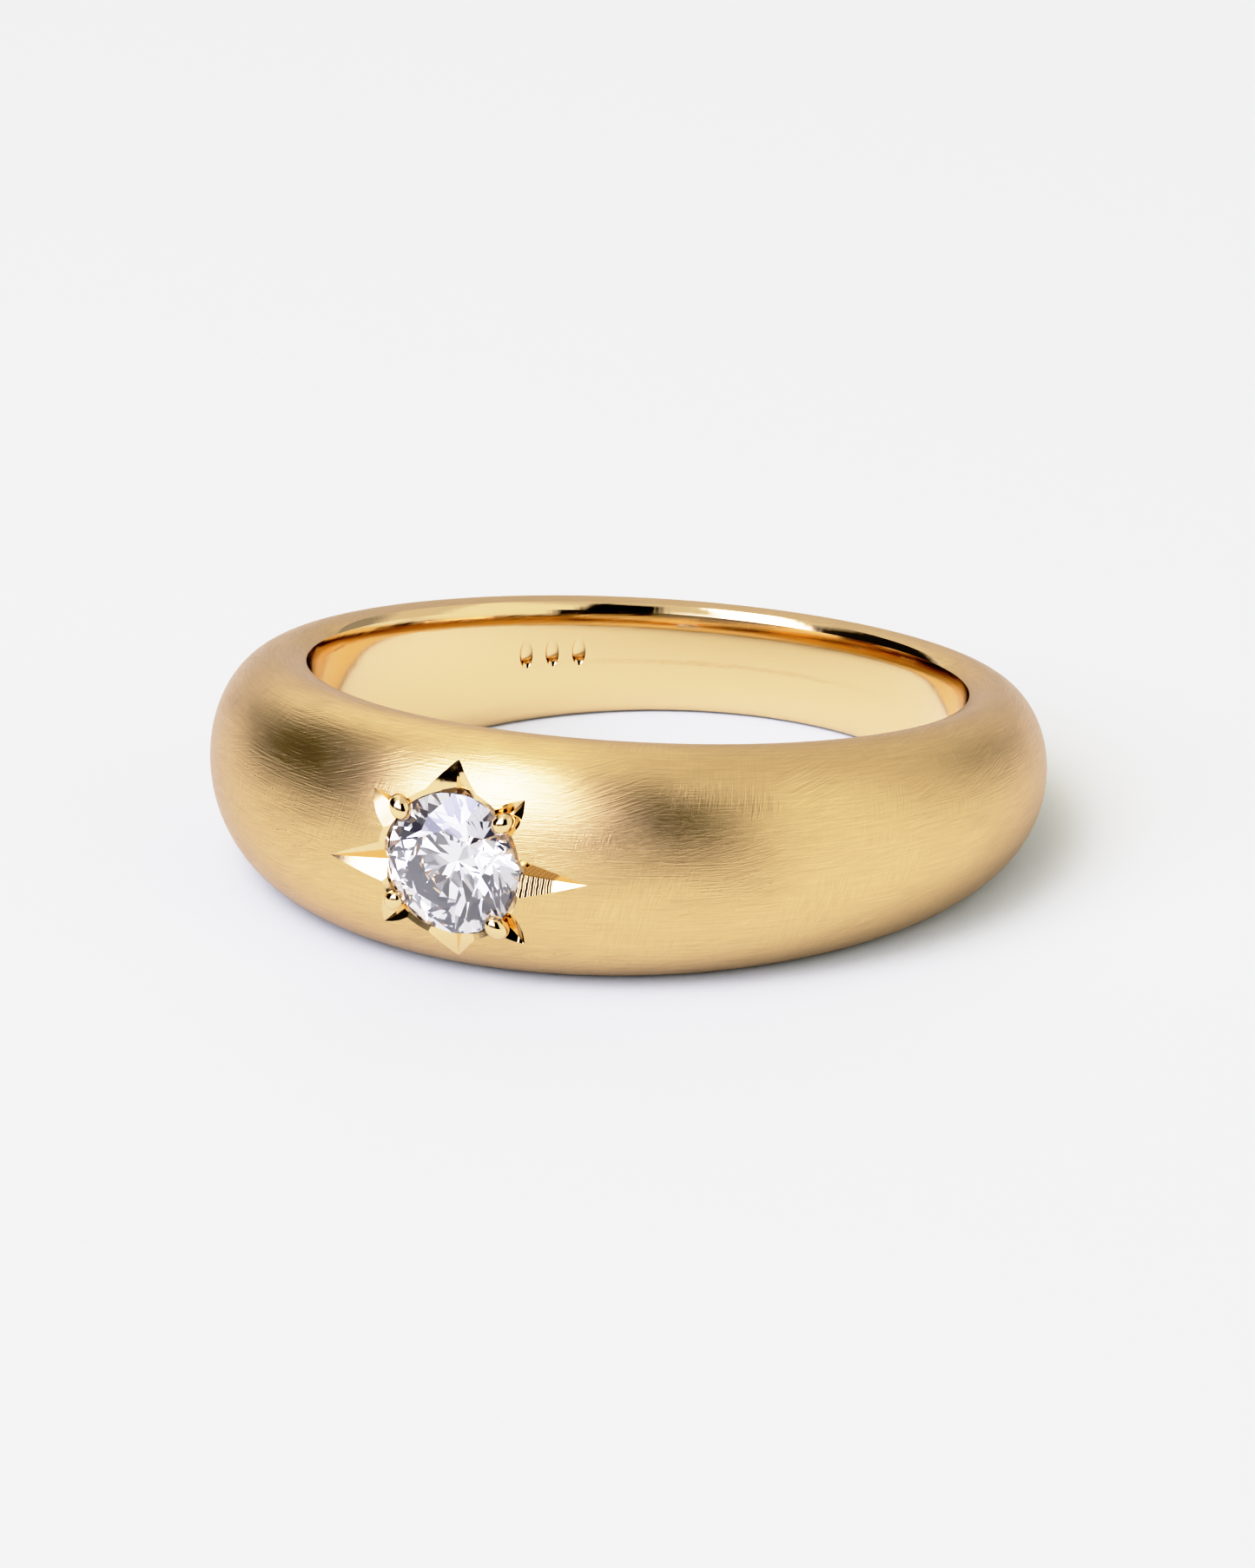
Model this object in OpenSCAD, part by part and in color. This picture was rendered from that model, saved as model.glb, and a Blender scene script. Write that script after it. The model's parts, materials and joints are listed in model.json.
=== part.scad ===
// A tapered, domed gold ring with one round brilliant set flush in an engraved four-pointed star.
// The ring lies on its side, as it rests by itself: the shoulders of its lower edge touch the surface
// all the way round, so the wide front lifts the finger hole a little out of level.
// Millimetres. The origin is on the surface, under the middle of the ring's box. The stone faces -Y.

/* [Finger hole] */
// Inside diameter
bore_d = 16.88; // [15:0.02:19]

/* [Band] */
// Width across the shoulders at the stone
front_w = 5.97; // [5.6:0.01:6.6]
// Width across the shoulders at the back
back_w = 2.92; // [2.7:0.01:3.6]
// Wall at the stone, from the finger hole to the crest of the dome
front_t = 2.64; // [2.5:0.01:2.9]
// Wall at the back
back_t = 1.51; // [1.3:0.01:1.8]
// What the wall gains at the sides over an even taper
side_t = 0.24; // [0:0.01:0.4]

/* [Inner edges] */
// Comfort bevel, measured across the wall
bevel_w = 0.06; // [0.04:0.01:0.1]
// Comfort bevel, measured along the finger
bevel_h = 0.44; // [0.3:0.01:0.5]
// Rolled edge between the rim and the shoulder, measured across the wall
roll_w = 0.6; // [0.4:0.01:0.7]
// Drop of the rolled edge at the stone
front_roll = 0.15; // [0.05:0.01:0.3]
// Drop of the rolled edge at the back
back_roll = 0.23; // [0.1:0.01:0.35]
// Share of the rolled edge that the steep polished chamfer takes at its deepest
chamfer_share = 0.9; // [0:0.05:0.95]
// Angle from the stone at which the chamfer starts, on the left, in degrees
chamfer_start = 87; // [60:1:120]
// Angle that the chamfer runs from there, past the back, in degrees
chamfer_run = 139; // [100:1:160]

/* [Stone] */
// Girdle diameter
stone_d = 3.55; // [3.4:0.01:3.6]
// Depth of the girdle's middle under the crest of the dome
stone_sink = 0.5; // [0.45:0.01:0.55]
// Table width as a share of the girdle
table_share = 0.56; // [0.53:0.01:0.62]
// Slope of the crown mains, in degrees
crown_deg = 34.5; // [32:0.5:36]
// Slope of the pavilion mains, in degrees
pavilion_deg = 40.75; // [40:0.25:42]
// Thickness of the girdle
girdle_t = 0.1; // [0.08:0.01:0.14]
// Clearance between the stone and its seat
seat_gap = 0.02; // [0.01:0.005:0.04]
// Hole drilled behind the stone, through to the finger
culet_hole_d = 2; // [1.6:0.1:2.4]

/* [Star and grains] */
// Depth of the long side cuts at the stone, under the crest of the dome
side_cut_depth = 0.52; // [0.45:0.01:0.6]
// Depth of the short upper and lower cuts at the stone
cross_cut_depth = 0.74; // [0.65:0.01:0.85]
// Diameter of the grains raised over the girdle
grain_d = 0.56; // [0.5:0.01:0.7]
// Distance of a grain from the middle of the stone
grain_reach = 1.87; // [1.84:0.01:2]
// Width of the pointed cut behind each grain
leaf_w = 0.75; // [0.5:0.01:0.85]

/* [Fineness] */
// Sections round the ring
stations = 120; // [96:8:144]
// Facets from a shoulder to the crest
dome_steps = 8; // [6:1:10]
// Facets of the rolled edge
roll_steps = 3; // [2:1:4]

/* [Hidden] */

// Engraved cuts round the stone. Angles are in degrees round it, 0 to its right and 90 to its top.
// Columns: angle, distance of the tip from the middle of the stone, width at the stone, depth at the stone.
STAR_CUTS = [
    [-1, 3.51, 1.0, side_cut_depth],
    [92, 2.5, 1.35, cross_cut_depth],
    [185, 3.42, 0.95, side_cut_depth],
    [269, 2.47, 1.35, cross_cut_depth]
];
// Columns: angle of the grain, angle of the tip of the cut behind it, distance of that tip.
GRAINS = [
    [42, 45, 2.6],
    [137, 144, 2.7],
    [216, 223, 2.64],
    [311, 316, 2.6]
];

bore_r = bore_d / 2;
rim_r = bore_r + bevel_w;
shoulder_r = rim_r + roll_w;
// The band's blank starts inside the bore, which then cuts it to a true cylinder.
core_r = bore_r - 0.03;
core_drop = bevel_h * (rim_r - core_r) / bevel_w;
// The chamfer's slope from level, at its lower and its upper edge
chamfer_low_deg = 62;
chamfer_high_deg = 50;

// A value that goes evenly from the front of the ring to the back, at angle a from the stone
function taper(a, front, back) = (front + back) / 2 + (front - back) / 2 * cos(a);
function crest_r(a) = bore_r + taper(a, front_t, back_t) + side_t * pow(sin(a), 2);
function shoulder_z(a) = taper(a, front_w, back_w) / 2;
function rim_z(a) = shoulder_z(a) - taper(a, front_roll, back_roll);
// Height of the chamfer at angle a, which runs from 0 to 360 to the left: a quick rise, then a long fade
function chamfer_h(a) =
    let (t = (a - chamfer_start) / chamfer_run)
    t <= 0 || t >= 1 ? 0
        : chamfer_share * taper(a, front_roll, back_roll) * (1 - exp(-t / 0.03)) * sqrt(1 - pow(t, 4));
function chamfer_w(a) = 2 * chamfer_h(a) / (tan(chamfer_low_deg) + tan(chamfer_high_deg));

// Upper half of the band's section at angle a, from the finger out to the shoulder, as [radius, height]
function inner_edge(a) = concat(
    [[core_r, rim_z(a) - core_drop], [rim_r, rim_z(a)]],
    let (h = chamfer_h(360 - a), w = chamfer_w(360 - a))
    let (start_w = max(w, 0.01), drop = shoulder_z(a) - rim_z(a) - h)
    [for (i = [0:roll_steps])
        let (s = i / roll_steps)
        [rim_r + start_w + (roll_w - start_w) * s, shoulder_z(a) - drop * pow(1 - s, 2)]]
);
// The dome, a quarter of an ellipse from the shoulder to the crest
function dome(a) = [for (i = [1:dome_steps])
    let (turn = 90 * i / dome_steps)
    [shoulder_r + (crest_r(a) - shoulder_r) * sin(turn), i == dome_steps ? 0 : shoulder_z(a) * cos(turn)]];
function upper_half(a) = concat(inner_edge(a), dome(a));
function mirrored(half) = [for (i = [len(half) - 2:-1:0]) [half[i][0], -half[i][1]]];
function section(a) = concat(upper_half(a), mirrored(upper_half(a)));
function station_point(a, p) = [p[0] * sin(a), -p[0] * cos(a), p[1]];

// The ring's tilt as it lies on the shoulders of its lower edge, and where its middle then is
lie_deg = atan((front_w - back_w) / 4 / shoulder_r);
lie_y = (crest_r(0) - crest_r(180)) / 2 * cos(lie_deg);
lie_z = (front_w + back_w) / 4 * cos(lie_deg);

module lying() {
    translate([0, lie_y, lie_z]) rotate([-lie_deg, 0, 0]) children();
}

// Closes a grid of points, rows round the ring and columns round the section, into one skin
module closed_loft(rows) {
    n = len(rows);
    m = len(rows[0]);
    polyhedron(
        points = [for (row = rows) each row],
        faces = [for (i = [0:n - 1], j = [0:m - 1])
            let (a = i * m + j, b = i * m + (j + 1) % m)
            let (c = ((i + 1) % n) * m + (j + 1) % m, d = ((i + 1) % n) * m + j)
            each [[a, c, b], [a, d, c]]]
    );
}

module blank() {
    closed_loft([for (i = [0:stations - 1])
        let (a = 360 * i / stations)
        [for (p = section(a)) station_point(a, p)]]);
}

module finger_hole() {
    cylinder(r = bore_r, h = 2 * front_w, center = true, $fn = 128);
}

// The setting's own frame: Z out of the dome, Y along the finger, X round the ring, at the crest
module setting() {
    translate([0, -crest_r(0), 0]) rotate([90, 0, 0]) children();
}

stone_r = stone_d / 2;
well_r = stone_r + seat_gap;

// Height of the dome's skin in the setting's frame, over x and y
function skin(x, y) =
    let (a = asin(x / crest_r(0)))
    let (r = shoulder_r + (crest_r(a) - shoulder_r) * sqrt(1 - pow(y / shoulder_z(a), 2)))
    sqrt(r * r - x * x) - crest_r(0);
function skin_at(angle, reach) = skin(reach * cos(angle), reach * sin(angle));

// A V groove from a tip on the skin to the middle of the stone. Its two faces meet in a valley, which follows
// the skin as the groove deepens evenly, so the groove's edges look straight from above. It is depth under the
// crest at distance edge, and width wide there at the skin.
module v_cut(angle, tip, edge, width, depth) {
    steps = 5;
    over = 3;
    drop = skin_at(angle, edge) + depth;
    open = width / 2 / drop;
    rows = [for (k = [0:steps])
        let (reach = tip * (1 - k / steps))
        let (z = skin_at(angle, reach) - drop * (tip - reach) / (tip - edge))
        [[reach, 0, z], [reach, -open * over, z + over], [reach, open * over, z + over]]];
    rotate([0, 0, angle]) polyhedron(
        points = [for (row = rows) each row],
        faces = concat(
            [[0, 1, 2], [3 * steps + 2, 3 * steps + 1, 3 * steps]],
            [for (k = [0:steps - 1], i = [0:2])
                let (a = 3 * k + i, b = 3 * k + (i + 1) % 3)
                [a, a + 3, b + 3, b]]
        )
    );
}

module star_cuts() {
    for (cut = STAR_CUTS) v_cut(cut[0], cut[1], stone_r, cut[2], cut[3]);
}

module leaf_cuts() {
    for (grain = GRAINS)
        v_cut(grain[1], grain[2], grain_reach, leaf_w, 0.22 - skin_at(grain[1], grain_reach));
}

module grains() {
    for (grain = GRAINS)
        rotate([0, 0, grain[0]])
            translate([grain_reach, 0, skin_at(grain[0], grain_reach) - 0.06])
                sphere(d = grain_d, $fn = 32);
}

// Proportions of the brilliant, about its girdle's middle: radius and height of each meeting point
table_r = table_share * stone_r;
crown_h = (stone_r - table_r) * tan(crown_deg);
star_r = (table_r * cos(22.5) + stone_r) / 2;
star_h = (stone_r - star_r * cos(22.5)) * tan(crown_deg);
lower_r = 0.23 * stone_r;
lower_h = (stone_r - lower_r * cos(22.5)) * tan(pavilion_deg);
culet_h = stone_r * tan(pavilion_deg);

// The well that the stone drops into, open at the top
module well() {
    translate([0, 0, -stone_sink]) cylinder(r = well_r, h = 3, $fn = 96);
}

// Room for the stone with its clearance, and the hole behind it
module seat() {
    top = girdle_t / 2 + seat_gap;
    hole_r = culet_hole_d / 2;
    ledge_h = top + (well_r - hole_r) * tan(pavilion_deg);
    translate([0, 0, -stone_sink]) rotate_extrude($fn = 96) polygon([
        [0, top + crown_h],
        [table_r + seat_gap, top + crown_h],
        [star_r + seat_gap, top + star_h],
        [well_r, top],
        [well_r, -top],
        [hole_r, -ledge_h],
        [hole_r, -front_t - 1],
        [0, -front_t - 1]
    ]);
}

module band() {
    color("gold") lying() difference() {
        union() {
            difference() {
                blank();
                finger_hole();
                setting() {
                    well();
                    star_cuts();
                    leaf_cuts();
                }
            }
            setting() grains();
        }
        setting() seat();
    }
}

// Meeting points of the brilliant's facets, ring by ring
function ring_of(count, first, r, z) =
    [for (k = [0:count - 1]) let (a = first + 360 * k / count) [r * cos(a), r * sin(a), z]];
// Height of the plane of a half facet where it crosses the girdle midway between its two corners
function scallop(r, h) =
    let (chord = stone_r * cos(11.25))
    let (reach = chord - r * cos(11.25))
    -h * (stone_r - chord) / reach;
function girdle_ring(side, inner_r, inner_h) =
    [for (k = [0:31])
        let (a = 360 * k / 32)
        let (z = girdle_t / 2 + (k % 2 == 1 ? scallop(inner_r, inner_h) : 0))
        [stone_r * cos(a), stone_r * sin(a), side * z]];

module brilliant() {
    // Rings of points: table, star points, upper girdle, lower girdle, lower points, culet
    points = concat(
        ring_of(8, 0, table_r, girdle_t / 2 + crown_h),
        ring_of(8, 22.5, star_r, girdle_t / 2 + star_h),
        girdle_ring(1, star_r, star_h),
        girdle_ring(-1, lower_r, lower_h),
        ring_of(8, 22.5, lower_r, -girdle_t / 2 - lower_h),
        [[0, 0, -girdle_t / 2 - culet_h]]
    );
    table = 0;
    star = 8;
    upper = 16;
    lower = 48;
    point = 80;
    culet = 88;
    eight = [0:7];
    faces = concat(
        [[for (k = [7:-1:0]) table + k]],
        [for (k = eight) [table + k, table + (k + 1) % 8, star + k]],
        [for (k = eight) [table + k, star + k, upper + 4 * k, star + (k + 7) % 8]],
        [for (k = eight, s = [0, 2])
            [star + k, upper + (4 * k + s + 2) % 32, upper + 4 * k + s + 1, upper + 4 * k + s]],
        [for (k = [0:31]) [upper + k, upper + (k + 1) % 32, lower + (k + 1) % 32, lower + k]],
        [for (k = eight, s = [0, 2])
            [point + k, lower + 4 * k + s, lower + 4 * k + s + 1, lower + (4 * k + s + 2) % 32]],
        [for (k = eight) [culet, point + (k + 7) % 8, lower + 4 * k, point + k]]
    );
    polyhedron(points = points, faces = faces);
}

module stone() {
    color("white") lying() setting() translate([0, 0, -stone_sink]) brilliant();
}

band();
stone();
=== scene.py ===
# %% [markdown]
# A gypsy ring with one brilliant set flush in an engraved star. The solids that were packed are the frame:
# they say where the finger hole is, how the ring leans, and where the stone sits. This lesson gives the gold
# its smooth skin, its brushed and polished finishes and its hand-cut setting, and lights it as on a table.

# %% Load the frame
import json
from collections import Counter
from math import asin, atan2, cos, degrees, exp, pi, radians, sin, sqrt, tan

import bpy
from mathutils import Matrix, Vector


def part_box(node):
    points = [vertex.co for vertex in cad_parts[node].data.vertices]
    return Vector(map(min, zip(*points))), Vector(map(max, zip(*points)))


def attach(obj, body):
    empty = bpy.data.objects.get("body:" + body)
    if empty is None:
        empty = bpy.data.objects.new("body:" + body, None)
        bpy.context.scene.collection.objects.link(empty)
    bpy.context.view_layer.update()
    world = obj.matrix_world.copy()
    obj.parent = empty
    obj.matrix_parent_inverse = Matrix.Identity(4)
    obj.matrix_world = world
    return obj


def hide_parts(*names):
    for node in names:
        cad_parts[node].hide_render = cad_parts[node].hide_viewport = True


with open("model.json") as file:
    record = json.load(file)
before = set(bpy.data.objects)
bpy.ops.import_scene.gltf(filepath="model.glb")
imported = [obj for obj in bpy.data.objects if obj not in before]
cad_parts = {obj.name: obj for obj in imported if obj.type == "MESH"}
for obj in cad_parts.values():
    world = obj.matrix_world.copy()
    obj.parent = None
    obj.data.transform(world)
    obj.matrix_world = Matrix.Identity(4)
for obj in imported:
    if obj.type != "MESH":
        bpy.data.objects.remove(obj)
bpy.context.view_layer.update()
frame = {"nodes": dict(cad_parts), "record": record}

bpy.ops.object.select_all(action="DESELECT")
HOLE = frame["record"]["mounts"][0]
MIDDLE = Vector(HOLE["pos_m"])
LEAN = atan2(HOLE["axis"][1], HOLE["axis"][2])
MM = 0.001
# From the ring's own frame, with Z along the finger hole, to the frame on the table
LYING = Matrix.Translation(MIDDLE) @ Matrix.Rotation(-LEAN, 4, "X")
print("finger hole: radius %.2f mm, leaning %.2f degrees" % (HOLE["dims"]["r_mm"], degrees(LEAN)))

# %% [markdown]
# A ring is photographed with a long lens, so that its front and back keep nearly the same scale. The camera
# is turned about the middle of the finger hole. Its angles are in the ring's own frame, because they were
# read from how the round edges of the hole flatten into ellipses, and the lean is added afterwards.

# %% Camera
FRAME_W, FRAME_H = 1445, 1806
CAMERA_DISTANCE = 0.150
CAMERA_ROUND, CAMERA_UP, CAMERA_ROLL = radians(24.42), radians(16.98), radians(0.88)
PIXELS_PER_MM = 44.68
MIDDLE_PX = (733.4, 863.3)      # where the middle of the hole lies in the picture

bpy.ops.object.camera_add()
camera = bpy.context.object
camera.name = "camera"
turn = (Matrix.Rotation(CAMERA_ROUND, 4, "Z") @ Matrix.Rotation(pi / 2 - CAMERA_UP, 4, "X")
        @ Matrix.Rotation(CAMERA_ROLL, 4, "Z"))
camera.matrix_world = LYING @ turn @ Matrix.Translation((0, 0, CAMERA_DISTANCE))
camera.data.sensor_width = 36
camera.data.lens = PIXELS_PER_MM * CAMERA_DISTANCE / MM / FRAME_H * camera.data.sensor_width
camera.data.shift_x = -(MIDDLE_PX[0] - FRAME_W / 2) / FRAME_H
camera.data.shift_y = (MIDDLE_PX[1] - FRAME_H / 2) / FRAME_H
camera.data.clip_start = 0.01
bpy.context.scene.camera = camera
print("camera: lens %.1f mm, %.1f degrees above the table"
      % (camera.data.lens, degrees(asin((camera.matrix_world.translation.z - MIDDLE.z) / CAMERA_DISTANCE))))

# %% [markdown]
# The band is the whole ring but the stone. Its section is a half ellipse outside, a soft roll at each inner
# edge and a small curved bevel where the roll meets the finger hole. The section is widest and thickest at the
# stone and tapers evenly to the back, so every size of it is one number at the front and one at the back.
# From the left side round to the back, a polished chamfer also breaks the inner edge, high on the ring and low.

# %% Sizes of the band, in millimetres
BORE_R = HOLE["dims"]["r_mm"]
WIDTH = (5.97, 2.92)            # across the shoulders, front and back
WALL = (2.64, 1.51)             # from the hole to the crest, front and back
SIDE_WALL = 0.24                # what the wall gains at the sides
BEVEL_W, BEVEL_H = 0.06, 0.44
BEVEL_CURVE = 1.6               # 1 would make the bevel flat
ROLL_W = 0.6
ROLL_DROP = (0.15, 0.23)        # front and back
CHAMFER_START, CHAMFER_RUN = 87, 139    # degrees, counted to the left from the stone
CHAMFER_SHARE = 0.9             # of the roll's drop
CHAMFER_DEG = (62, 50)          # slope from level, at the rim and at the shoulder
CHAMFER_LEAST_W = 0.004
CHAMFER_RISE, CHAMFER_BLUNT = 0.03, 9   # share of the run in which it starts, and how late it fades
RIM_R = BORE_R + BEVEL_W
SHOULDER_R = RIM_R + ROLL_W


def taper(angle, sizes):
    front, back = sizes
    return (front + back) / 2 + (front - back) / 2 * cos(angle)


def crest_r(angle):
    return BORE_R + taper(angle, WALL) + SIDE_WALL * sin(angle) ** 2


def dome_r(angle, z):
    """Radius of the dome's skin at height z."""
    half_w = taper(angle, WIDTH) / 2
    return SHOULDER_R + (crest_r(angle) - SHOULDER_R) * sqrt(max(0, 1 - (z / half_w) ** 2))


def chamfer(angle):
    """Height and width of the polished chamfer: a quick rise on the left and a blunt end past the back."""
    turned_by = -degrees(angle) % 360
    t = (turned_by - CHAMFER_START) / CHAMFER_RUN
    if not 0 < t < 1:
        return 0, CHAMFER_LEAST_W
    there = (1 - exp(-t / CHAMFER_RISE)) * sqrt(1 - t ** CHAMFER_BLUNT)
    height = CHAMFER_SHARE * taper(angle, ROLL_DROP) * there
    return height, max(CHAMFER_LEAST_W, height / chamfer_rise(1))


def chamfer_rise(share):
    """Height of the chamfer for each unit of its width: steep at the rim, easing towards the shoulder."""
    low_slope, high_slope = (tan(radians(slope)) for slope in CHAMFER_DEG)
    return low_slope * share - (low_slope - high_slope) / 2 * share ** 2


CREST = crest_r(0)
low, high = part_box("band")
print("band: %.2f mm across here, %.2f mm in the frame" % (2 * crest_r(pi / 2), (high.x - low.x) / MM))

# %% [markdown]
# A jeweller turns or forges the hoop first and files the taper afterwards, and the mesh goes the same way. A
# circle of points is put on the front's section and spun about the hole's axis. The stretch round the stone
# gets close steps, because the star is cut there. Then each point slides to its place on the tapered section:
# it knows its row in the section, and its angle says how far round the ring it is.

# %% The section, row by row
WALL_STEPS, BEVEL_STEPS, CHAMFER_STEPS, ROLL_STEPS, DOME_STEPS = 6, 8, 6, 8, 40
CLOSE_ARC, CLOSE_STEP, OPEN_STEP = 50, 0.25, 1.0   # degrees


def section(angle):
    """The closed section at an angle from the stone, as [(radius, height)], from the middle of the hole's wall."""
    half_w = taper(angle, WIDTH) / 2
    rim_z = half_w - taper(angle, ROLL_DROP)
    crest = crest_r(angle)
    chamfer_h, chamfer_w = chamfer(angle)
    roll_r, roll_drop = RIM_R + chamfer_w, half_w - rim_z - chamfer_h
    half = [(BORE_R, (rim_z - BEVEL_H) * i / WALL_STEPS) for i in range(WALL_STEPS)]
    half += [(BORE_R + BEVEL_W * (i / BEVEL_STEPS) ** BEVEL_CURVE, rim_z - BEVEL_H * (1 - i / BEVEL_STEPS))
             for i in range(BEVEL_STEPS)]
    half += [(RIM_R + chamfer_w * i / CHAMFER_STEPS, rim_z + chamfer_rise(i / CHAMFER_STEPS) * chamfer_w)
             for i in range(CHAMFER_STEPS)]
    half += [(roll_r + (SHOULDER_R - roll_r) * i / ROLL_STEPS, half_w - roll_drop * (1 - i / ROLL_STEPS) ** 2)
             for i in range(ROLL_STEPS)]
    quarter = [pi / 2 * i / DOME_STEPS for i in range(DOME_STEPS)]
    half += [(SHOULDER_R + (crest - SHOULDER_R) * sin(turn), half_w * cos(turn)) for turn in quarter]
    return half + [(crest, 0)] + [(r, -z) for r, z in half[:0:-1]]


ROWS = len(section(0))
POLISHED_ROWS = WALL_STEPS + BEVEL_STEPS
CHAMFER_ROWS = POLISHED_ROWS + CHAMFER_STEPS
print("section: %d rows" % ROWS)


# %% Spin the hoop
def open_mesh(piece):
    """Enters edit mode on one piece, with all of it selected."""
    bpy.ops.object.select_all(action="DESELECT")
    bpy.context.view_layer.objects.active = piece
    piece.select_set(True)
    bpy.ops.object.mode_set(mode="EDIT")
    bpy.ops.mesh.select_all(action="SELECT")


def close_mesh(merge=1e-4):
    """Merges what lies together, turns the faces outwards and leaves edit mode."""
    bpy.ops.mesh.select_all(action="SELECT")
    bpy.ops.mesh.remove_doubles(threshold=merge)
    bpy.ops.mesh.normals_make_consistent(inside=False)
    bpy.ops.object.mode_set(mode="OBJECT")


def profile(name, points, start=0.0):
    """A circle whose corners are put on a section, in the plane at an angle round the axis."""
    bpy.ops.mesh.primitive_circle_add(vertices=len(points), radius=1)
    piece = bpy.context.object
    piece.name = name
    for corner, (r, z) in zip(piece.data.vertices, points):
        corner.co = (r * sin(start), -r * cos(start), z)
    return piece


start = -radians(CLOSE_ARC / 2)
band = profile("gold_band", section(0), start)
row_of = band.data.attributes.new("row", "INT", "POINT")
row_of.data.foreach_set("value", list(range(ROWS)))
open_mesh(band)
for arc, step in ((CLOSE_ARC, CLOSE_STEP), (360 - CLOSE_ARC, OPEN_STEP)):
    bpy.ops.mesh.spin(steps=round(arc / step), angle=radians(arc), center=(0, 0, 0), axis=(0, 0, 1))
close_mesh()
close_points = sum(abs(atan2(v.co.x, -v.co.y)) <= radians(CLOSE_ARC / 2) + 1e-6 for v in band.data.vertices)
print("hoop: %d points, %d of them round the stone" % (len(band.data.vertices), close_points))


# %% Taper it
def round_angle(point):
    return atan2(point.x, -point.y)


sections = {}
rows = [item.value for item in band.data.attributes["row"].data]
for point, row in zip(band.data.vertices, rows):
    angle = round_angle(point.co)
    key = round(angle, 5)
    if key not in sections:
        sections[key] = section(angle)
    r, z = sections[key][row]
    point.co = (r * sin(angle), -r * cos(angle), z)
print("taper: %d sections" % len(sections))

# %% [markdown]
# Three finishes share the gold: the brushed outside, the mirror inside of the hole, and the bright cuts of the
# graver. Each face says which it has by its material slot, and faces that a cutter leaves behind take the
# cutter's slot, so the cutters are marked before they cut.

# %% Slots for the three finishes
BRUSHED, MIRROR, CUT = 0, 1, 2
gold = [bpy.data.materials.new(name) for name in ("brushed_gold", "mirror_gold", "cut_gold")]
for finish in gold:
    band.data.materials.append(finish)
row_of = band.data.attributes["row"].data
for face in band.data.polygons:
    row = max(min(row_of[v].value, ROWS - row_of[v].value) for v in face.vertices)
    on_chamfer = row <= CHAMFER_ROWS and chamfer(round_angle(face.center))[0] > 0
    face.material_index = MIRROR if row <= POLISHED_ROWS or on_chamfer else BRUSHED
print("mirror faces:", sum(face.material_index == MIRROR for face in band.data.polygons))

# %% [markdown]
# To set a stone flush, the setter drills a seat, cuts four long V grooves towards it with a graver, and pushes
# a curl of metal up at each corner over the stone's edge, which is burnished into a round grain. The groove
# behind each grain stays as a small leaf. Each tool mark is one simple cutter here, taken away with a Boolean,
# because a groove's two flat faces and its sharp valley are exactly what a graver leaves.

# %% Sizes of the setting, in millimetres, in a frame with Z out of the dome and Y along the finger
stone_low, stone_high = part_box("stone")
STONE_R = (stone_high.x - stone_low.x) / 2 / MM
SINK = 0.5                      # the girdle's middle under the crest
GIRDLE_T, SEAT_GAP = 0.1, 0.02
PAVILION, CROWN = radians(40.75), radians(34.5)
TABLE_R = 0.56 * STONE_R
HOLE_BEHIND_R = 1.0
GRAIN_D, GRAIN_REACH = 0.56, 1.87
GRAIN_SIZES = (0.96, 1.1, 0.92, 1.06)   # each is raised by hand, so no two are alike
GRAIN_DRAWN = (1.12, 0.94, 0.95)        # outwards, across and up
GRAIN_LEAN, GRAIN_SINK = 0.15, 0.05
SIDE_CUT, CROSS_CUT = 0.52, 0.74
# angle round the stone, reach of the tip, width and depth at the stone
STAR_CUTS = [
    (-1, 3.51, 1.14, SIDE_CUT),
    (92, 2.5, 1.55, CROSS_CUT),
    (185, 3.42, 1.14, SIDE_CUT),
    (269, 2.47, 1.45, CROSS_CUT),
]
# angle of the grain, angle of the leaf's tip, reach of that tip
GRAINS = [(42, 45, 2.6), (137, 144, 2.7), (216, 223, 2.64), (311, 316, 2.6)]
LEAF_W, LEAF_DEPTH = 0.75, 0.24
SLIVER = 5e-4                   # anything smaller is left over from a cut
COLLAR_W, COLLAR_DEG = 0.13, 38     # polished collar that the burnisher leaves round the well
print("stone: %.2f mm across" % (2 * STONE_R))


def skin(angle_deg, reach):
    """Height of the dome over the setting's plane."""
    x, y = reach * cos(radians(angle_deg)), reach * sin(radians(angle_deg))
    r = dome_r(asin(x / CREST), y)
    return sqrt(r * r - x * x) - CREST


# %% Cutting tools
def use_slot(piece, slot):
    for finish in gold:
        piece.data.materials.append(finish)
    for face in piece.data.polygons:
        face.material_index = slot


def onto_dome(piece):
    """Takes a tool from the setting's frame to the ring's."""
    piece.location, piece.rotation_euler = (0, -CREST, 0), (pi / 2, 0, 0)
    bpy.ops.object.select_all(action="DESELECT")
    bpy.context.view_layer.objects.active = piece
    piece.select_set(True)
    bpy.ops.object.transform_apply(location=True, rotation=True, scale=True)


def combine(piece, tool, operation):
    """Cuts a tool out of a piece, or joins it on, and throws the tool away."""
    bpy.ops.object.select_all(action="DESELECT")
    bpy.context.view_layer.objects.active = piece
    piece.select_set(True)
    step = piece.modifiers.new("combine", "BOOLEAN")
    step.operation, step.solver, step.object = operation, "EXACT", tool
    bpy.ops.object.modifier_apply(modifier=step.name)
    bpy.data.objects.remove(tool, do_unlink=True)


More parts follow.
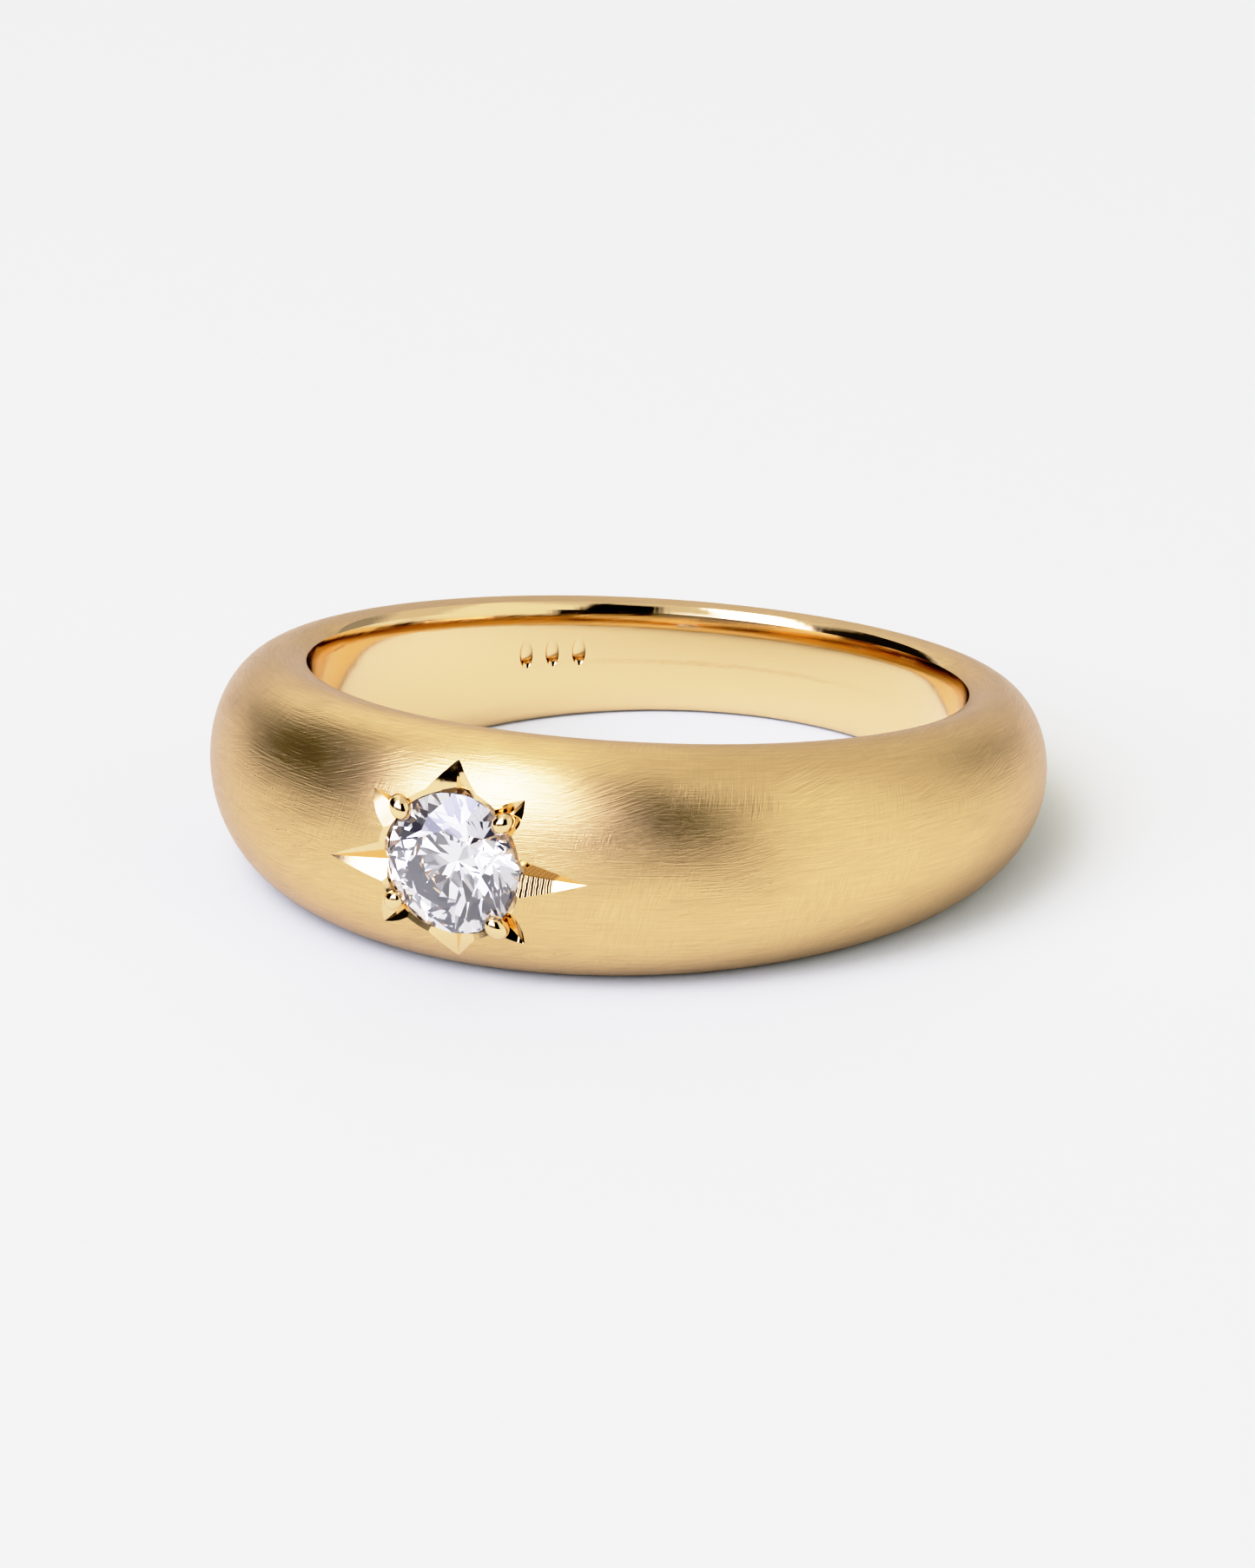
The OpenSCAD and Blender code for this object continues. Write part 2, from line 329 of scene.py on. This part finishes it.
def groove(angle_deg, tip, edge, width, depth, belly=0.0):
    """A V blade, swept in from the tip. Its valley follows the dome as the cut deepens.

    It deepens evenly, or sooner where it has a belly."""
    steps, over = 12, 3         # lengths of the sweep, and how far the blade stands over the dome
    drop = skin(angle_deg, edge) + depth
    spread = over * width / 2 / drop
    bpy.ops.mesh.primitive_cylinder_add(vertices=3, radius=1, depth=1)
    tool = bpy.context.object
    tool.rotation_euler = (0, pi / 2, 0)
    bpy.ops.object.transform_apply(location=True, rotation=True, scale=True)
    open_mesh(tool)
    for step in range(1, steps):
        bpy.ops.mesh.select_all(action="SELECT")
        bpy.ops.mesh.bisect(plane_co=(0.5 - step / steps, 0, 0), plane_no=(1, 0, 0))
    close_mesh()
    for corner in tool.data.vertices:
        reach = tip * (corner.co.x + 0.5)
        share = (tip - reach) / (tip - edge)
        valley = skin(angle_deg, reach) - drop * share * (1 + belly * max(0, 1 - share))
        is_valley = corner.co.y > 0.9
        side = 0 if is_valley else spread if corner.co.z > 0 else -spread
        place = Vector((reach, side, valley + (over if side else 0)))
        corner.co = Matrix.Rotation(radians(angle_deg), 3, "Z") @ place
    open_mesh(tool)
    close_mesh()
    use_slot(tool, CUT)
    onto_dome(tool)
    return tool


# %% Cut the star and the leaves
for angle_deg, tip, width, depth in STAR_CUTS:
    combine(band, groove(angle_deg, tip, STONE_R, width, depth), "DIFFERENCE")
for _, angle_deg, tip in GRAINS:
    depth = LEAF_DEPTH - skin(angle_deg, GRAIN_REACH)
    combine(band, groove(angle_deg, tip, GRAIN_REACH, LEAF_W, depth, belly=0.9), "DIFFERENCE")
print("after the grooves: %d faces" % len(band.data.polygons))


# %% Drill the well, raise the grains, then open the seat
def turned(name, points, steps=96, over_skin=False):
    """A solid turned from a profile that runs from the axis out and back to it.

    With over_skin, heights of the outer points are counted from the dome's skin."""
    tool = profile(name, points)
    open_mesh(tool)
    bpy.ops.mesh.spin(steps=steps, angle=2 * pi, center=(0, 0, 0), axis=(0, 0, 1))
    close_mesh()
    for corner in tool.data.vertices:
        reach = sqrt(corner.co.x ** 2 + corner.co.y ** 2)
        if over_skin and reach > 0.1 and corner.co.z > -SINK + 0.01:
            corner.co.z += skin(degrees(atan2(corner.co.y, corner.co.x)), reach)
    use_slot(tool, CUT)
    onto_dome(tool)
    return tool


well_r = STONE_R + SEAT_GAP
slope = tan(radians(COLLAR_DEG))
well = [(0, -SINK), (well_r, -SINK), (well_r, -COLLAR_W * slope), (well_r + 0.5, (0.5 - COLLAR_W) * slope), (0, 3)]
combine(band, turned("well", well, over_skin=True), "DIFFERENCE")
for (angle_deg, _, _), size in zip(GRAINS, GRAIN_SIZES):
    turn = Matrix.Rotation(radians(angle_deg), 3, "Z")
    bpy.ops.mesh.primitive_uv_sphere_add(segments=48, ring_count=24, radius=GRAIN_D / 2 * size)
    grain = bpy.context.object
    home = Vector((GRAIN_REACH, 0, skin(angle_deg, GRAIN_REACH) - GRAIN_SINK))
    for corner in grain.data.vertices:
        x, y, z = (along * drawn for along, drawn in zip(corner.co, GRAIN_DRAWN))
        corner.co = turn @ (home + Vector((x, y, z - GRAIN_LEAN * corner.co.x)))
    use_slot(grain, CUT)
    onto_dome(grain)
    combine(band, grain, "UNION")
top = GIRDLE_T / 2 + SEAT_GAP
crown_h = (STONE_R - TABLE_R) * tan(CROWN)
ledge = top + (well_r - HOLE_BEHIND_R) * tan(PAVILION)
seat = [(0, top + crown_h), (TABLE_R + SEAT_GAP, top + crown_h), (well_r, top), (well_r, -top),
        (HOLE_BEHIND_R, -ledge), (HOLE_BEHIND_R, -WALL[0] - 1), (0, -WALL[0] - 1)]
combine(band, turned("seat", [(r, z - SINK) for r, z in seat]), "DIFFERENCE")
print("band: %d faces" % len(band.data.polygons))


# %% Punch three plain strokes in the finger hole's wall, across from the stone
MARK_ANGLES, MARK_Z, MARK_SIZE = (215.5, 220.5, 225.5), 0.22, (0.2, 0.12, 0.42)
MARK_R = BORE_R - 0.05
for angle_deg in MARK_ANGLES:
    angle = radians(angle_deg)
    bpy.ops.mesh.primitive_uv_sphere_add(segments=32, ring_count=16, radius=1)
    punch = bpy.context.object
    punch.scale = MARK_SIZE
    punch.rotation_euler = (0, 0, angle)
    punch.location = (MARK_R * sin(angle), -MARK_R * cos(angle), MARK_Z)
    bpy.ops.object.transform_apply(location=True, rotation=True, scale=True)
    use_slot(punch, CUT)
    combine(band, punch, "DIFFERENCE")
print("punched: %d strokes" % len(MARK_ANGLES))

# %% Close the slivers that the cuts leave
open_mesh(band)
bpy.ops.mesh.dissolve_degenerate(threshold=SLIVER)
close_mesh(SLIVER)
open_mesh(band)
bpy.ops.mesh.delete_loose(use_verts=True, use_edges=True, use_faces=True)
close_mesh(SLIVER)
band.data.validate()
edge_users = Counter(edge for face in band.data.polygons for edge in face.edge_keys)
print("band: %d faces, %d open edges"
      % (len(band.data.polygons), sum(users != 2 for users in edge_users.values())))

# %% [markdown]
# The brush follows the band, so its strokes need coordinates that follow it too: one runs round the ring and
# the other across the section, both in millimetres. They are written as a UV map.

# %% Coordinates for the finishes
SECTION_CORE_R, SECTION_R, ROUND_R = 9.4, 2.5, 9.9


def wrap_band(piece):
    brush = piece.data.uv_layers.new(name="brush")
    points = piece.data.vertices
    for face in piece.data.polygons:
        home = round_angle(face.center)
        for corner in face.loop_indices:
            co = points[piece.data.loops[corner].vertex_index].co
            angle = round_angle(co)
            angle += 2 * pi * round((home - angle) / (2 * pi))
            across = atan2(co.z, sqrt(co.x ** 2 + co.y ** 2) - SECTION_CORE_R)
            brush.data[corner].uv = (ROUND_R * angle, SECTION_R * across)


wrap_band(band)
band.data.attributes.remove(band.data.attributes["row"])


# %% Put the band on its frame
def finish_piece(piece, sharp_deg):
    """Takes a piece from millimetres in the ring's frame to metres on the table, and smooths its round faces."""
    piece.matrix_world = LYING @ Matrix.Scale(MM, 4)
    bpy.ops.object.select_all(action="DESELECT")
    bpy.context.view_layer.objects.active = piece
    piece.select_set(True)
    bpy.ops.object.transform_apply(location=True, rotation=True, scale=True)
    bpy.ops.object.shade_smooth_by_angle(angle=radians(sharp_deg))


finish_piece(band, 12)
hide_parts("band")
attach(band, "root")
print("band: %.2f mm across, %.2f mm high" % tuple(band.dimensions[i] / MM for i in (0, 2)))


# %% [markdown]
# Materials are built from nodes. A helper adds a node, sets its values and joins it to what feeds it, so each
# finish reads as a short list of steps.

# %% Node helper
def fresh(material):
    material.use_nodes = True
    tree = material.node_tree
    tree.nodes.clear()
    shader = tree.nodes.new("ShaderNodeBsdfPrincipled")
    out = tree.nodes.new("ShaderNodeOutputMaterial")
    tree.links.new(shader.outputs[0], out.inputs["Surface"])
    return tree, shader


def add(tree, kind, feeds=None, values=None, **settings):
    """Adds a node; feeds joins outputs to inputs, values fills inputs, settings are the node's own choices."""
    made = tree.nodes.new("ShaderNode" + kind)
    for name, value in settings.items():
        setattr(made, name, value)
    for name, value in (values or {}).items():
        made.inputs[name].default_value = value
    for name, source in (feeds or {}).items():
        tree.links.new(source, made.inputs[name])
    return made


def strokes(tree, base, length, width, turn_deg, detail=3.0):
    """Noise drawn out into strokes of a length and width in millimetres, turned from the way round the ring."""
    mapped = add(tree, "Mapping", {"Vector": base},
                 {"Scale": (length, width, 1), "Rotation": (0, 0, radians(turn_deg))}, vector_type="TEXTURE")
    noise = add(tree, "TexNoise", {"Vector": mapped.outputs[0]},
                {"Scale": 1.0, "Detail": detail, "Roughness": 0.6})
    return noise.outputs["Fac"]


def mixed(tree, a, b, share):
    """a and b mixed, where share is a number or an output."""
    made = add(tree, "Mix", {"A": a, "B": b}, data_type="FLOAT")
    if isinstance(share, float):
        made.inputs["Factor"].default_value = share
    else:
        tree.links.new(share, made.inputs["Factor"])
    return made.outputs[0]


def ranged(tree, source, low_in, high_in, low_out, high_out):
    made = add(tree, "MapRange", {"Value": source}, {"From Min": low_in, "From Max": high_in,
                                                     "To Min": low_out, "To Max": high_out})
    return made.outputs[0]


# %% [markdown]
# Brushed gold is made with an abrasive wheel or pad: thousands of fine scratches, mostly round the ring, some
# crossing where the hand turned. Long thin noise makes the strokes, in four layers at different angles, and a
# broad noise lets the crossing ones come and go. The strokes are bump, and they also vary the roughness and the
# colour a little. Scratched gold is duller than a mirror where it is seen edge on, so its edge tint is lowered.

# %% Brushed gold
GOLD = (0.92, 0.657, 0.345, 1)
PALE_GOLD = (0.93, 0.69, 0.41, 1)
BOUNCE = (0.80, 0.79, 0.78, 1)


def colour_metal(tree, shader, colour):
    """Gives a metal its colour, but a neutral one in what it throws back on the pale table."""
    bounced = add(tree, "LightPath").outputs["Is Diffuse Ray"]
    shown = add(tree, "Mix", {"Factor": bounced}, {"A": colour, "B": BOUNCE}, data_type="RGBA")
    tree.links.new(shown.outputs["Result"], shader.inputs["Base Color"])
    shader.inputs["Metallic"].default_value = 1.0
    return shown


def darkened(colour, share):
    return [part * share for part in colour[:3]] + [1]


def brushed_gold(material):
    tree, shader = fresh(material)
    base = add(tree, "UVMap", uv_map="brush").outputs[0]
    along = strokes(tree, base, 1.5, 0.06, 0)
    fine = strokes(tree, base, 0.7, 0.04, 4)
    upright = strokes(tree, base, 0.8, 0.045, 80)
    slanting = strokes(tree, base, 1.0, 0.05, 20)
    patches = strokes(tree, base, 3.0, 1.8, 0, detail=1.0)
    height = mixed(tree, along, fine, 0.4)
    height = mixed(tree, height, upright, ranged(tree, patches, 0.46, 0.66, 0.0, 0.55))
    height = mixed(tree, height, slanting, ranged(tree, patches, 0.52, 0.34, 0.1, 0.7))
    bump = add(tree, "Bump", {"Height": height}, {"Distance": 0.026 * MM, "Strength": 1.0})
    tint = add(tree, "Mix", {"Factor": ranged(tree, height, 0.35, 0.65, 0.0, 1.0)},
               {"A": darkened(GOLD, 0.78), "B": GOLD}, data_type="RGBA")
    tangent = add(tree, "Tangent", direction_type="UV_MAP", uv_map="brush")
    shown = colour_metal(tree, shader, GOLD)
    tree.links.new(tint.outputs["Result"], shown.inputs["A"])
    tree.links.new(ranged(tree, height, 0.3, 0.7, 0.36, 0.25), shader.inputs["Roughness"])
    tree.links.new(bump.outputs[0], shader.inputs["Normal"])
    tree.links.new(tangent.outputs[0], shader.inputs["Tangent"])
    shader.inputs["Specular Tint"].default_value = (0.76, 0.735, 0.80, 1)
    shader.inputs["Anisotropic"].default_value = 0.35
    shader.inputs["Anisotropic Rotation"].default_value = 0.25


brushed_gold(gold[BRUSHED])

# %% [markdown]
# The hole and its bevel are polished on a felt mandrel, which leaves a mirror with a faint haze of hairlines
# round the finger and soft streaks across. The graver's cuts are bright from the tool itself.

# %% Mirror and cut gold
def mirror_gold(material):
    tree, shader = fresh(material)
    base = add(tree, "UVMap", uv_map="brush").outputs[0]
    haze = strokes(tree, base, 1.2, 0.055, 2)
    streaks = strokes(tree, base, 2.4, 0.3, 90, detail=1.0)
    tree.links.new(ranged(tree, haze, 0.3, 0.7, 0.05, 0.14), shader.inputs["Roughness"])
    height = mixed(tree, haze, streaks, 0.8)
    bump = add(tree, "Bump", {"Height": height}, {"Distance": 0.003 * MM, "Strength": 1.0})
    tree.links.new(bump.outputs[0], shader.inputs["Normal"])
    colour_metal(tree, shader, PALE_GOLD)


def cut_gold(material):
    tree, shader = fresh(material)
    place = add(tree, "TexCoord").outputs["Object"]
    lines = add(tree, "TexNoise", {"Vector": place}, {"Scale": 9 / MM, "Detail": 2.0}).outputs["Fac"]
    tree.links.new(ranged(tree, lines, 0.3, 0.7, 0.04, 0.12), shader.inputs["Roughness"])
    smooth = add(tree, "Bump", {"Height": lines}, {"Distance": 0.0012 * MM, "Strength": 0.6})
    # The graver chattered on its way in at the stone's right: fine ridges across that cut's lower side, where
    # painted shade also darkens the gold as if the ridges shadowed it
    base = add(tree, "UVMap", uv_map="brush").outputs[0]
    spot = add(tree, "SeparateXYZ", {"Vector": base}).outputs
    ridges = add(tree, "TexWave", {"Vector": base},
                 {"Scale": 2.6, "Distortion": 1.0, "Detail": 1.0, "Detail Scale": 2.0}, bands_direction="X")
    begun, ended = ranged(tree, spot["X"], 1.55, 1.65, 0, 1), ranged(tree, spot["X"], 2.4, 2.5, 1, 0)
    inner = add(tree, "Math", {0: begun, 1: ended}, operation="MULTIPLY").outputs[0]
    lower = ranged(tree, spot["Y"], -0.06, 0.0, 1, 0)
    inner = add(tree, "Math", {0: inner, 1: lower}, operation="MULTIPLY").outputs[0]
    chatter = add(tree, "Bump", {"Height": ridges.outputs["Fac"], "Strength": inner, "Normal": smooth.outputs[0]},
                  {"Distance": 0.010 * MM})
    tree.links.new(chatter.outputs[0], shader.inputs["Normal"])
    shown = colour_metal(tree, shader, PALE_GOLD)
    # Painted shade: the chattered patch is darkened to half the gold's colour, standing in for the ridges' shadow
    tint = add(tree, "Mix", {"Factor": inner}, {"A": PALE_GOLD, "B": darkened(GOLD, 0.5)}, data_type="RGBA")
    tree.links.new(tint.outputs["Result"], shown.inputs["A"])


mirror_gold(gold[MIRROR])
cut_gold(gold[CUT])

# %% [markdown]
# The stone's own solid already has every facet of a brilliant, flat and sharp, so it stays and only gets its
# matter: clear, with diamond's strong bending of light, and a faint bluish glow painted in as light to lift its
# dark facets.

# %% Diamond
stone = frame["nodes"]["stone"]
diamond = bpy.data.materials.new("diamond")
tree, shader = fresh(diamond)
place = add(tree, "TexCoord").outputs["Object"]
breath = add(tree, "TexNoise", {"Vector": place}, {"Scale": 2 / MM, "Detail": 1.0}).outputs["Fac"]
tree.links.new(ranged(tree, breath, 0.3, 0.8, 0.0, 0.008), shader.inputs["Roughness"])
shader.inputs["Base Color"].default_value = (0.98, 0.975, 1, 1)
shader.inputs["Transmission Weight"].default_value = 1.0
shader.inputs["IOR"].default_value = 2.417
# Painted light: a faint bluish glow that lifts the stone's dark facets towards grey
shader.inputs["Emission Color"].default_value = (0.84, 0.80, 1.0, 1)
shader.inputs["Emission Strength"].default_value = 0.025
stone.data.materials.clear()
stone.data.materials.append(diamond)

# %% [markdown]
# The table is a plain pale sheet. The light is a white tent with one large lamp high at the front, brighter
# walls at the right and behind on the left, and two dark places: round the camera, and a stand at the left.
# Metal shows nothing but its surroundings, so these bright and dark patches are what draw the ring's form.

# %% Table
bpy.ops.mesh.primitive_plane_add(size=2)
table = bpy.context.object
table.name = "table"
paper = bpy.data.materials.new("paper")
tree, shader = fresh(paper)
place = add(tree, "TexCoord").outputs["Object"]
grain = add(tree, "TexNoise", {"Vector": place}, {"Scale": 1.5 / MM, "Detail": 2.0}).outputs["Fac"]
bump = add(tree, "Bump", {"Height": grain}, {"Distance": 0.002 * MM, "Strength": 0.3})
tree.links.new(bump.outputs[0], shader.inputs["Normal"])
shader.inputs["Base Color"].default_value = (0.88, 0.877, 0.822, 1)
shader.inputs["Roughness"].default_value = 0.9
shader.inputs["Specular IOR Level"].default_value = 0.1
table.data.materials.append(paper)


# %% Tent
def towards(round_deg, up_deg):
    """Unit vector, counted as the camera's place is: 0 from the front, positive to the right."""
    a, e = radians(round_deg), radians(up_deg)
    return Vector((sin(a) * cos(e), -cos(a) * cos(e), sin(e)))


TENT = (0.74, 0.73, 0.70, 1)
# Panels of the tent: where their middle is round and up, their half sizes in degrees, their light, and how
# many degrees their edge takes to fade
PANELS = [
    (-134, 50, 24, 32, (1.10, 1.09, 1.06, 1), 14),     # a brighter wall at the left, behind
    (-84, 74, 40, 14, (1.05, 1.04, 1.02, 1), 12),      # and the top above it
    (-29, 45, 20, 26, (3.8, 3.8, 5.0, 1), 9),          # the large lamp, high at the front
    (2, 32, 11, 13, (2.9, 2.9, 3.8, 1), 9),            # its reflector, low at the right
    (0, 10, 34, 8, (0.18, 0.18, 0.18, 1), 8),          # the lamp's stand and lower edge
    (82, 25, 28, 27, (1.02, 1.01, 0.98, 1), 8),        # a brighter wall at the right
    (38, 28, 18, 32, (0.0, 0.0, 0.0, 1), 5),           # the dark round the camera
    (-79, 17, 29, 25, (0.035, 0.035, 0.035, 1), 9),    # a dark stand at the left
    (152, 10, 14, 16, (0.38, 0.38, 0.38, 1), 10),      # a dimmer corner at the back
]

world = bpy.data.worlds.new("tent")
bpy.context.scene.world = world
world.use_nodes = True
tree = world.node_tree
tree.nodes.clear()
looking = add(tree, "TexCoord").outputs["Generated"]


def along(direction):
    return add(tree, "VectorMath", {0: looking}, {1: direction}, operation="DOT_PRODUCT").outputs["Value"]


up = add(tree, "Math", {0: along((0, 0, 1))}, operation="ARCSINE").outputs[0]
light = None
for round_deg, up_deg, half_round, half_up, level, fade in PANELS:
    sideways = add(tree, "Math", {0: along(towards(round_deg + 90, 0)), 1: along(towards(round_deg, 0))},
                   operation="ARCTAN2").outputs[0]
    off_round = add(tree, "Math", {0: sideways}, operation="ABSOLUTE").outputs[0]
    higher = add(tree, "Math", {0: up}, {1: radians(up_deg)}, operation="SUBTRACT").outputs[0]
    off_up = add(tree, "Math", {0: higher}, operation="ABSOLUTE").outputs[0]
    masks = [ranged(tree, off, radians(half - fade / 2), radians(half + fade / 2), 1, 0)
             for off, half in ((off_round, half_round), (off_up, half_up))]
    here = add(tree, "Math", {0: masks[0], 1: masks[1]}, operation="MULTIPLY").outputs[0]
    feeds = {"Factor": here} if light is None else {"Factor": here, "A": light}
    light = add(tree, "Mix", feeds, {"A": TENT, "B": level}, data_type="RGBA").outputs["Result"]
ground = add(tree, "Background", {"Color": light}, {"Strength": 1.0})
out = add(tree, "OutputWorld", {"Surface": ground.outputs[0]})

# %% [markdown]
# The tent alone would leave only a faint shade all round the ring. One more lamp, high on the left, gives the
# short shadow at its right. The metal doesn't mirror it, because the tent's panels already stand for all lamps.

# %% Side lamp
LAMP_AT, LAMP_DISTANCE = towards(-28, 62), 0.35
bpy.ops.object.light_add(type="AREA", location=LAMP_AT * LAMP_DISTANCE)
lamp = bpy.context.object
lamp.name = "side_lamp"
lamp.data.size = 0.24
lamp.data.energy = 0.34
lamp.rotation_euler = LAMP_AT.to_track_quat("Z", "Y").to_euler()
lamp.visible_glossy = False
lamp.visible_transmission = False

# %% [markdown]
# A camera doesn't answer evenly to light: it presses deep tones a little and lets bright ones roll off to white.
# A curve in the view settings does the same, so the polished gold keeps its dark lines and its soft highlights.

# %% Tone curve
view = bpy.context.scene.view_settings
BRIGHTEST = 3.0
view.view_transform = "Standard"
view.look = "None"
TONES = [(0, 0), (0.04, 0.005), (0.1, 0.055), (0.2, 0.155), (0.4, 0.375), (0.6, 0.6), (0.75, 0.735), (0.9, 0.83),
         (1.2, 0.93), (1.8, 0.98), (BRIGHTEST, 1)]      # light that comes in, light that goes out
view.use_curve_mapping = True
curves = view.curve_mapping
curves.white_level = (BRIGHTEST, BRIGHTEST, BRIGHTEST)
tone = curves.curves[3].points
while len(tone) < len(TONES):
    tone.new(0.5, 0.5)
for point, (light_in, light_out) in zip(tone, TONES):
    point.location = (light_in / BRIGHTEST, light_out)
curves.update()
print("tone curve: %d points" % len(tone))
